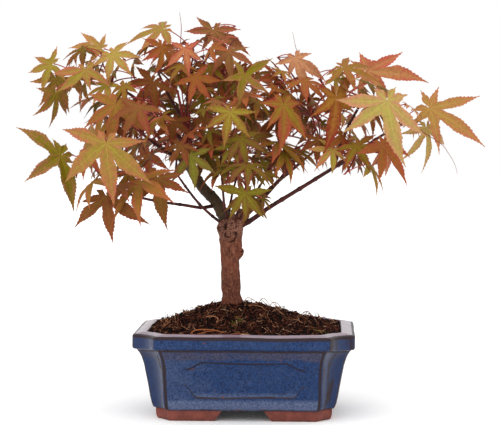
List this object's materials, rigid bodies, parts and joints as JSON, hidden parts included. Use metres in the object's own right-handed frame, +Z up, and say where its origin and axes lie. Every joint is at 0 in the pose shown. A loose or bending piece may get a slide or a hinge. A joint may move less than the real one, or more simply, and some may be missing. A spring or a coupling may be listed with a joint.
{
  "type": "potted deshojo japanese maple bonsai",
  "caption": "Small maple bonsai with a short bare trunk, thin spreading limbs and open red, orange and green palmate leaves, in a blue glazed pot with notched corners.",
  "frame": {"origin": "on the ground, under the middle of the whole plant's box", "axes": "+Z up, the pot's long front towards -Y, +X to the right as the picture shows it"},
  "size_m": [0.3262, 0.1958, 0.2823],
  "materials": {
    "glaze": "gloss",
    "earth": "matte",
    "bark": "matte",
    "young_bark": "satin",
    "leaves": "satin"
  },
  "bodies": {
    "root": {"pot": "glaze", "soil": "earth", "trunk": "bark", "leader": "young_bark", "bough_low_left": "young_bark", "bough_left_front": "young_bark", "bough_left_top": "young_bark", "bough_top_left": "young_bark", "bough_back_left": "young_bark", "bough_back_top": "young_bark", "shoot_left_inner": "young_bark", "shoot_centre": "young_bark", "shoot_low_front": "young_bark", "bough_right": "young_bark", "bough_right_top": "young_bark", "bough_far_right": "young_bark", "bough_right_steep": "young_bark", "shoot_right_thin": "young_bark", "bough_back_right": "young_bark", "shoot_back_low": "young_bark", "foliage_low_left": "leaves", "foliage_left_front": "leaves", "foliage_left_top": "leaves", "foliage_top_left": "leaves", "foliage_top": "leaves", "foliage_centre_front": "leaves", "foliage_low_front": "leaves", "foliage_left_inner": "leaves", "foliage_right_inner": "leaves", "foliage_right_low": "leaves", "foliage_right_top": "leaves", "foliage_right_front": "leaves", "foliage_far_right": "leaves", "foliage_back_left": "leaves", "foliage_back_top": "leaves", "foliage_back_right": "leaves", "foliage_back_low": "leaves"}
  },
  "joints": []
}
